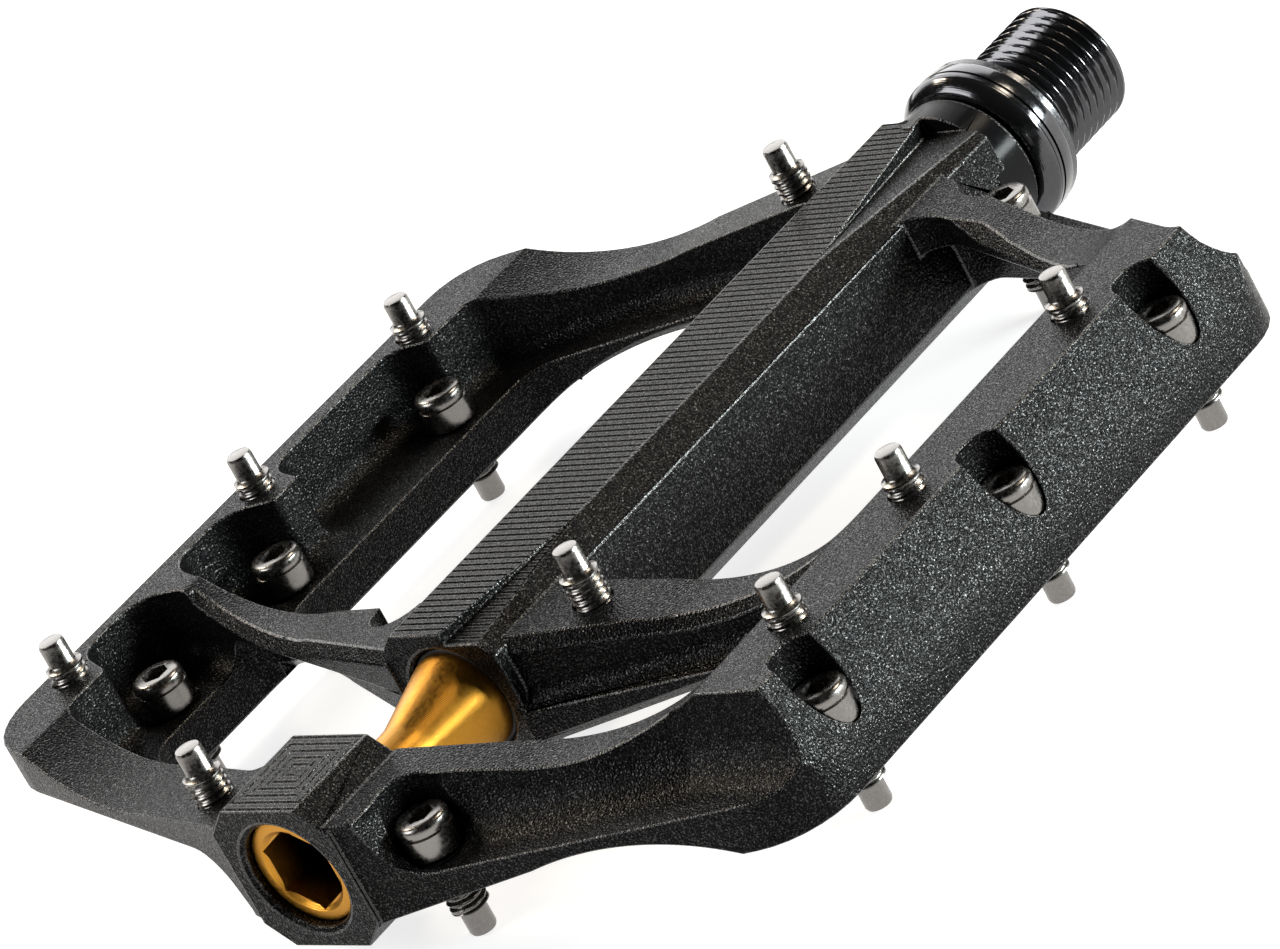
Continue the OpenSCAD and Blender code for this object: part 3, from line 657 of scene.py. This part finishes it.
class PEDAL_OT_platform(bpy.types.Operator):
    """Build the milled platform with its hub, boss, arms and rails"""

    bl_idname = "pedal.platform"
    bl_label = "Platform"

    def execute(self, context):
        s = context.scene.pedal_sizes
        pins = context.scene.pedal_pins
        w, t, h = s.half_width, s.half_thickness, s.hub_half_width
        section = [(-h, -s.hub_shoulder), (-s.hub_flat, -s.hub_half_height), (s.hub_flat, -s.hub_half_height),
                   (h, -s.hub_shoulder), (h, s.hub_shoulder), (s.hub_flat, s.hub_half_height),
                   (-s.hub_flat, s.hub_half_height), (-h, s.hub_shoulder)]
        body = new_object("platform", prism(plate_plan(s), -t, t))
        gap_x, gap_y = (BOSS[1] - 0.3, HUB[0] + 0.3), h - SUNK / 2
        combine(body, [prism([(gap_x[0], -gap_y, 0), (gap_x[1], -gap_y, 0), (gap_x[1], gap_y, 0),
                              (gap_x[0], gap_y, 0)], -20, 20)], "DIFFERENCE")
        depth = -s.pocket_depth
        facet = [(-w + FACET_RUN, t), (-w, FACET_LOW), (-w - 2, FACET_LOW), (-w - 2, t + 2), (-w + FACET_RUN, t + 2)]
        plain = (s.floor_radius, 0)
        fillets = (plain, plain, (s.trough_radius, OUTBOARD_DRAFT), plain, plain, (INBOARD_FILLET, INBOARD_DRAFT))
        cuts = [lambda p=p, r=r, d=d: prism(p, depth, 30, r, d) for p, (r, d) in zip(pocket_plans(s), fillets)]
        cuts += [lambda i=i: dish_tools(s, w - DISH_EDGE_FAR, 1)[i] for i in (0, 1)]
        cuts += [lambda i=i: dish_tools(s, w - DISH_EDGE_NEAR, -1)[i] for i in (0, 1)]
        cuts += [lambda: bar(facet, 0, HUB[1])]
        combine(body, both_faces(cuts), "DIFFERENCE")
        combine(body, both_faces(arm_chamfers(s)), "DIFFERENCE")
        collar = place(turned([(0, FLAT_END - 2), (h + 0.1, FLAT_END - 2), (h + 0.1, HUB[1] - 0.4),
                               (h - 0.2, HUB[1]), (0, HUB[1])], 96), ALONG_X)
        combine(body, [bar(section, *BOSS), bar(section, HUB[0], FLAT_END - 0.4), collar], "UNION")
        bore = lambda profile: place(turned(profile, 96), ALONG_X)
        holes = [bore([(0, BOSS[0] - 1), (BOSS_FLARE, BOSS[0] - 1), (BORE_RADIUS, BOSS[0] + 0.5),
                       (BORE_RADIUS, BOSS[1] + 1), (0, BOSS[1] + 1)]),
                 bore([(0, HUB[0] - 1), (HUB_FLARE, HUB[0] - 1), (BORE_RADIUS, HUB[0] + 0.4),
                       (BORE_RADIUS, HUB[1] - SEAL_DEPTH), (SEAL_RADIUS, HUB[1] - SEAL_DEPTH),
                       (SEAL_RADIUS, HUB[1] + 1), (0, HUB[1] + 1)])]
        wedges = [lambda: wedge_tool(s, *CRANK_WEDGE), lambda: wedge_tool(s, *PLUG_WEDGE)]
        combine(body, both_faces(wedges) + holes, "DIFFERENCE")
        seats = []
        hole, floor = pins.shaft_radius + 0.02, depth - 0.03
        for group, radius in zip(bottom_pin_places(), PIN_SEAT_RADII):
            for x, y in group:
                seats.append(lambda x=x, y=y, r=radius: place(
                    turned([(0, -REACH), (hole, -REACH), (hole, floor), (r, floor), (r, REACH), (0, REACH)], 40),
                    Matrix.Translation((x, y, 0))))
        combine(body, both_faces(seats), "DIFFERENCE")
        bm = bmesh.new()
        bm.from_mesh(body.data)
        bmesh.ops.remove_doubles(bm, verts=bm.verts, dist=0.004)
        bmesh.ops.dissolve_limit(bm, angle_limit=math.radians(0.6), verts=bm.verts, edges=bm.edges)
        bm.to_mesh(body.data)
        bm.free()
        settle(body)
        finish = context.scene.pedal_finish
        for material in (blasted("black_anodised", finish.anodised),
                         # Bevel faces: specks lightened five times, a painted highlight along the edges
                         blasted("black_anodised_edge_painted_highlight", finish.anodised, 1.0),
                         blasted("milled_strip", finish.anodised, 0.35, strip_lines, 0.00006, 0.00042),
                         blasted("milled_pad", finish.anodised, 0.3, pad_lines, 0.00006, 0.0003),
                         polished("turned_collar", finish.anodised, 0.0, 0.16, 0.1, ring=0.4, gloss=0.07)):
            body.data.materials.append(material)
        for p in body.data.polygons:
            c = p.center
            station = c.x / MM + ORIGIN
            flat = abs(c.z) > (s.hub_half_height - 0.03) * MM and abs(p.normal.z) > 0.99
            wedge = (HUB[0] - 1 < station < PLUG_WEDGE_END and abs(p.normal.z) > 0.96
                     and abs(c.z) > (s.hub_half_height - 1.45) * MM)
            p.material_index = (PAD if station < BOSS[1] + 1 else STRIP) if flat or wedge else PLAIN
            if station > FLAT_END - 0.5 and math.hypot(c.y, c.z) > (h - 0.4) * MM:
                p.material_index = COLLAR
        edge = body.modifiers.new("edges", "BEVEL")
        edge.width = s.edge_width * MM
        edge.segments = 2
        edge.limit_method = "ANGLE"
        edge.angle_limit = math.radians(32)
        edge.use_clamp_overlap = False
        edge.material = EDGE
        edge.harden_normals = False
        smooth(body)
        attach(body, "platform")
        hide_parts("pedal_body")
        return {"FINISHED"}


# ---------------------------------------------------------------- pins

def thread(bm, axis_z0, axis_z1, crest, depth, pitch, fade):
    """Cuts a helical thread into the turned rows between two heights."""
    for v in bm.verts:
        r = math.hypot(v.co.x, v.co.y)
        if axis_z0 - 1e-6 <= v.co.z <= axis_z1 + 1e-6 and abs(r - crest) < 1e-3:
            turn = math.atan2(v.co.y, v.co.x) / (2 * math.pi)
            phase = (v.co.z / pitch - turn) % 1.0
            groove = min(1.0, max(0.0, 1.35 * (1 - abs(2 * phase - 1)) - 0.12))
            ends = min(1.0, (v.co.z - axis_z0) / fade, (axis_z1 - v.co.z) / fade)
            k = (crest - depth * groove * max(0.0, ends)) / r
            v.co.x *= k
            v.co.y *= k


def rows(z0, z1, step):
    """Evenly spaced heights about a step apart."""
    n = max(2, int(round((z1 - z0) / step)))
    return [z0 + (z1 - z0) * i / n for i in range(n + 1)]


def pin_mesh(s):
    """One pin, tip down, its head's underside at the origin."""
    z1, r, t = -s.thread_length, s.shaft_radius, s.tip_radius
    profile = [(0, -s.length), (t - 0.45, -s.length), (t - 0.14, -s.length + 0.09), (t, -s.length + 0.4),
               (t, z1 - 0.45), (t + 0.12, z1 - 0.3), (r - 0.12, z1 - 0.05)]
    profile += [(r, z) for z in rows(z1, -0.3, s.pitch / 10)]
    profile += [(r, 0), (s.head_radius - 0.3, 0), (s.head_radius, 0.3), (s.head_radius, 2.6),
                (s.head_radius - 0.28, 2.72), (s.head_radius - 0.28, 2.98), (s.head_radius, 3.1),
                (s.head_radius, 3.6), (s.head_radius - 0.2, 3.95), (s.head_radius - 0.55, s.head_height),
                (0, s.head_height)]
    bm = turned(profile, 36)
    thread(bm, z1, -0.3, r, 0.3, s.pitch, 0.5)
    bmesh.ops.recalc_face_normals(bm, faces=bm.faces)
    return bm


def pin_group(context, name, places, upside_down):
    """One object with a pin at each place, with its key socket cut in the head."""
    s = context.scene.pedal_pins
    depth = context.scene.pedal_sizes.pocket_depth
    pin = new_object("pin", pin_mesh(s))
    key = place(hexagon(0, 6, 2.6), Matrix.Translation((0, 0, s.head_height - 2.0)) @ Matrix.Rotation(
        math.radians(-90), 4, "Y"))
    combine(pin, [key], "DIFFERENCE")
    bm = bmesh.new()
    for x, y in places:
        start = len(bm.verts)
        bm.from_mesh(pin.data)
        bm.verts.ensure_lookup_table()
        bmesh.ops.transform(bm, matrix=Matrix.Translation((x, y, -depth)), verts=bm.verts[start:])
    if upside_down:
        place(bm, HALF_TURN)
    remove(pin)
    obj = new_object(name, bm)
    settle(obj)
    smooth(obj, 40)
    return obj


class PEDAL_OT_pins(bpy.types.Operator):
    """Build the six groups of traction pins"""

    bl_idname = "pedal.pins"
    bl_label = "Traction pins"

    def execute(self, context):
        steel = polished("pin_steel", context.scene.pedal_finish.pin, roughness=0.26, scratch=0.15)
        for kind, places in zip(("outer_rail", "inner_rail", "arm"), bottom_pin_places()):
            for face, turned_over in (("bottom", False), ("top", True)):
                obj = pin_group(context, "%s_%s_screws" % (face, kind), places, turned_over)
                obj.data.materials.append(steel)
                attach(obj, "platform")
                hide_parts("%s_%s_pins" % (face, kind))
        return {"FINISHED"}


# ---------------------------------------------------------------- end plug, spindle and washer

class PEDAL_OT_plug(bpy.types.Operator):
    """Build the gold end plug between the boss and the hub"""

    bl_idname = "pedal.plug"
    bl_label = "End plug"

    def execute(self, context):
        profile = [(0, 0), (5.55, 0), (5.8, 0.08), (5.95, 0.35), (5.95, 8.6), (3.75, 10.3), (3.55, 10.8),
                   (3.5, 11.6), (3.5, 17.2), (3.54, 17.8), (3.65, 18.3), (5.42, 25.3), (5.5, 25.7), (5.5, 26.5),
                   (5.1, 26.6), (5.1, 27.4), (5.5, 27.5), (5.5, 28.2), (4, 28.2), (4, 26), (0, 26)]
        plug = new_object("gold_plug", place(turned(profile, 96), ALONG_X))
        combine(plug, [hexagon(-1, 7.5, 8.0), rod(-0.5, 0.35, 5.4, 4.25)], "DIFFERENCE")
        settle(plug)
        # The socket between stations 0.8 and 9.6 gets painted shade
        plug.data.materials.append(polished("gold_anodised", context.scene.pedal_finish.gold, roughness=0.38,
                                            scratch=0.12, ring=0.5, deep=(0.8, 9.6)))
        smooth(plug, 30)
        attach(plug, "platform")
        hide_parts("end_plug")
        return {"FINISHED"}


class PEDAL_OT_spindle(bpy.types.Operator):
    """Build the spindle with its flange and crank thread, and the washer on its shoulder"""

    bl_idname = "pedal.spindle"
    bl_label = "Spindle"

    def execute(self, context):
        s = context.scene.pedal_spindle
        end = SHOULDER + s.thread_length
        r = s.thread_radius
        profile = [(0, 28.8), (2.48, 28.8), (2.98, 29.3), (2.98, 41.6), (3.75, 41.6), (3.75, 43.1), (4.2, 44.6),
                   (4.2, 93.1), (5, 99.6), (5, 117), (8.25, 117), (8.5, 117.1), (9.35, 118.1), (9.5, 118.35),
                   (9.5, 118.6), (9.38, 118.66), (9.5, 118.72), (9.5, 119.1), (9.2, 119.16), (9.2, 119.36),
                   (9.5, 119.42), (9.5, 120.7), (9.35, 121), (6.25, 121), (6.25, 122), (6.6, 122.25)]
        profile += [(r, x) for x in rows(122.6, end - 0.9, s.pitch / 14)]
        profile += [(r - 0.9, end), (4.95, end), (4.55, end - 0.4), (0, end - 0.4)]
        bm = turned(profile, 128)
        thread(bm, 122.6, end - 0.9, r, s.thread_depth, s.pitch, 0.45)
        spindle = new_object("axle", place(bm, ALONG_X))
        combine(spindle, [hexagon(end - 9, end + 2, 8.0)], "DIFFERENCE")
        settle(spindle)
        spindle.data.materials.append(polished("black_spindle", context.scene.pedal_finish.spindle, metallic=0.9,
                                               roughness=0.14, scratch=0.15, coat=0.4, ring=0.15))
        smooth(spindle, 34)
        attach(spindle, "axle")
        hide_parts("spindle")
        washer = new_object("crank_washer", place(turned(
            [(7.3, 121), (9.2, 121), (9.3, 121.1), (9.3, 121.85), (9.15, 122), (7.45, 122), (7.3, 121.85),
             (7.3, 121)], 96), ALONG_X))
        settle(washer)
        washer.data.materials.append(polished("black_washer", context.scene.pedal_finish.spindle, metallic=0.6,
                                              roughness=0.24, scratch=0.3, coat=0.3, ring=0.2))
        smooth(washer)
        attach(washer, "axle")
        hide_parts("pedal_washer")
        return {"FINISHED"}


class PEDAL_OT_inner_parts(bpy.types.Operator):
    """Give the bearings, bushing, seals and lock nut their finishes"""

    bl_idname = "pedal.inner_parts"
    bl_label = "Inner parts"

    def execute(self, context):
        finishes = {
            "bearing_steel": polished("bearing_steel", (0.62, 0.63, 0.65), roughness=0.12),
            "pressed_steel": polished("pressed_steel", (0.45, 0.46, 0.47), roughness=0.3, ring=0.1),
            "seal_rubber": soft("seal_rubber", (0.012, 0.012, 0.012), 0.6),
            "bushing_polymer": soft("bushing_polymer", (0.55, 0.47, 0.28), 0.45),
            "nylon": soft("nylon", (0.02, 0.09, 0.42), 0.4),
        }
        for part in frame["record"]["subparts"]:
            obj = frame["nodes"][part["node"]]
            if part["material_slot"] in finishes:
                for slot in obj.material_slots:
                    slot.material = finishes[part["material_slot"]]
        return {"FINISHED"}


# ---------------------------------------------------------------- stage

def area_light(name, energy, size, place_at, target, colour=(1, 1, 1), size_y=None):
    """A softbox that faces its target."""
    data = bpy.data.lights.new(name, "AREA")
    data.energy = energy
    data.color = colour
    data.size = size
    if size_y:
        data.shape = "RECTANGLE"
        data.size_y = size_y
    obj = bpy.data.objects.new(name, data)
    obj.location = place_at
    obj.rotation_euler = (Vector(target) - Vector(place_at)).to_track_quat("-Z", "Y").to_euler()
    bpy.context.scene.collection.objects.link(obj)


class PEDAL_OT_stage(bpy.types.Operator):
    """Set up the floor, the lights and the camera"""

    bl_idname = "pedal.stage"
    bl_label = "Stage"

    def execute(self, context):
        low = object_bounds()[0][2]
        bm = bmesh.new()
        bmesh.ops.create_grid(bm, x_segments=1, y_segments=1, size=6.0)
        floor = new_object("floor", place(bm, Matrix.Translation((0, 0, low - 0.0002))))
        n = Nodes("floor")
        floor.data.materials.append(n.feed(Base_Color=(0.5, 0.5, 0.5, 1), Roughness=0.9, Specular_IOR_Level=0.0,
                                           Emission_Color=(1, 1, 1, 1), Emission_Strength=0.8))
        floor.visible_diffuse = False
        floor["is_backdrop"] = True
        world = bpy.data.worlds.new("studio")
        world.use_nodes = True
        tree = world.node_tree
        sky = tree.nodes.new("ShaderNodeTexCoord")
        split = tree.nodes.new("ShaderNodeSeparateXYZ")
        shade = tree.nodes.new("ShaderNodeMapRange")
        tree.links.new(sky.outputs["Generated"], split.inputs[0])
        tree.links.new(split.outputs[2], shade.inputs["Value"])
        for key, value in (("From Min", 0.2), ("From Max", 1.0), ("To Min", 0.02), ("To Max", 0.35)):
            shade.inputs[key].default_value = value
        tree.links.new(shade.outputs["Result"], tree.nodes["Background"].inputs[1])
        context.scene.world = world
        area_light("back_softbox", 11.0, 1.5, (0.55, 0.75, 0.5), (-0.06, 0, 0), size_y=0.8)
        area_light("right_softbox", 21.0, 0.6, (0.5, -0.85, 0.16), (-0.06, -0.04, 0), (0.92, 1.0, 0.99), size_y=0.17)
        area_light("left_softbox", 4.0, 0.5, (-0.7, 0.45, 0.5), (-0.06, 0.03, 0), size_y=0.4)
        area_light("warm_back", 5.0, 0.3, (-0.1, 0.85, 0.85), (-0.06, 0, 0), (1.0, 0.86, 0.68), size_y=0.3)
        area_light("warm_side", 5.0, 0.3, (0.62, -0.45, 0.85), (-0.06, 0, 0), (1.0, 0.86, 0.68), size_y=0.3)
        camera = bpy.data.cameras.new("camera")
        camera.sensor_width = 36.0
        camera.lens = 218.76
        camera.clip_start = 0.05
        camera.clip_end = 20.0
        context.scene.view_settings.view_transform = "Standard"
        obj = bpy.data.objects.new("camera", camera)
        right = Vector((0.56142, -0.69763, -0.44511))
        up = Vector((0.58981, -0.03996, 0.80655))
        back = -Vector((0.58046, 0.71534, -0.38904))
        pose = Matrix((right, up, back)).transposed().to_4x4()
        pose.translation = Vector((-503.695, -542.605, 298.165)) * MM
        obj.matrix_world = pose
        context.scene.collection.objects.link(obj)
        context.scene.camera = obj
        return {"FINISHED"}


class PEDAL_PT_panel(bpy.types.Panel):
    """Sizes, colours and build steps of the pedal"""

    bl_idname = "PEDAL_PT_panel"
    bl_label = "Flat Pedal"
    bl_space_type = "VIEW_3D"
    bl_region_type = "UI"
    bl_category = "Pedal"

    def draw(self, context):
        layout = self.layout
        for group in (context.scene.pedal_sizes, context.scene.pedal_pins, context.scene.pedal_spindle,
                      context.scene.pedal_finish):
            box = layout.box()
            for key in group.bl_rna.properties.keys():
                if key not in ("rna_type", "name"):
                    box.prop(group, key)
        for operator in STEPS:
            layout.operator(operator.bl_idname)


STEPS = (PEDAL_OT_platform, PEDAL_OT_pins, PEDAL_OT_plug, PEDAL_OT_spindle, PEDAL_OT_inner_parts, PEDAL_OT_stage)
GROUPS = (PedalSizes, PinSizes, SpindleSizes, Finish)


def register():
    for cls in GROUPS + STEPS + (PEDAL_PT_panel,):
        bpy.utils.register_class(cls)
    bpy.types.Scene.pedal_sizes = PointerProperty(type=PedalSizes)
    bpy.types.Scene.pedal_pins = PointerProperty(type=PinSizes)
    bpy.types.Scene.pedal_spindle = PointerProperty(type=SpindleSizes)
    bpy.types.Scene.pedal_finish = PointerProperty(type=Finish)


def unregister():
    for name in ("pedal_sizes", "pedal_pins", "pedal_spindle", "pedal_finish"):
        delattr(bpy.types.Scene, name)
    for cls in reversed(GROUPS + STEPS + (PEDAL_PT_panel,)):
        bpy.utils.unregister_class(cls)


def main():
    register()
    bpy.ops.pedal.platform()
    bpy.ops.pedal.pins()
    bpy.ops.pedal.plug()
    bpy.ops.pedal.spindle()
    bpy.ops.pedal.inner_parts()
    bpy.ops.pedal.stage()
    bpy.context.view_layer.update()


if __name__ == "__main__":
    main()
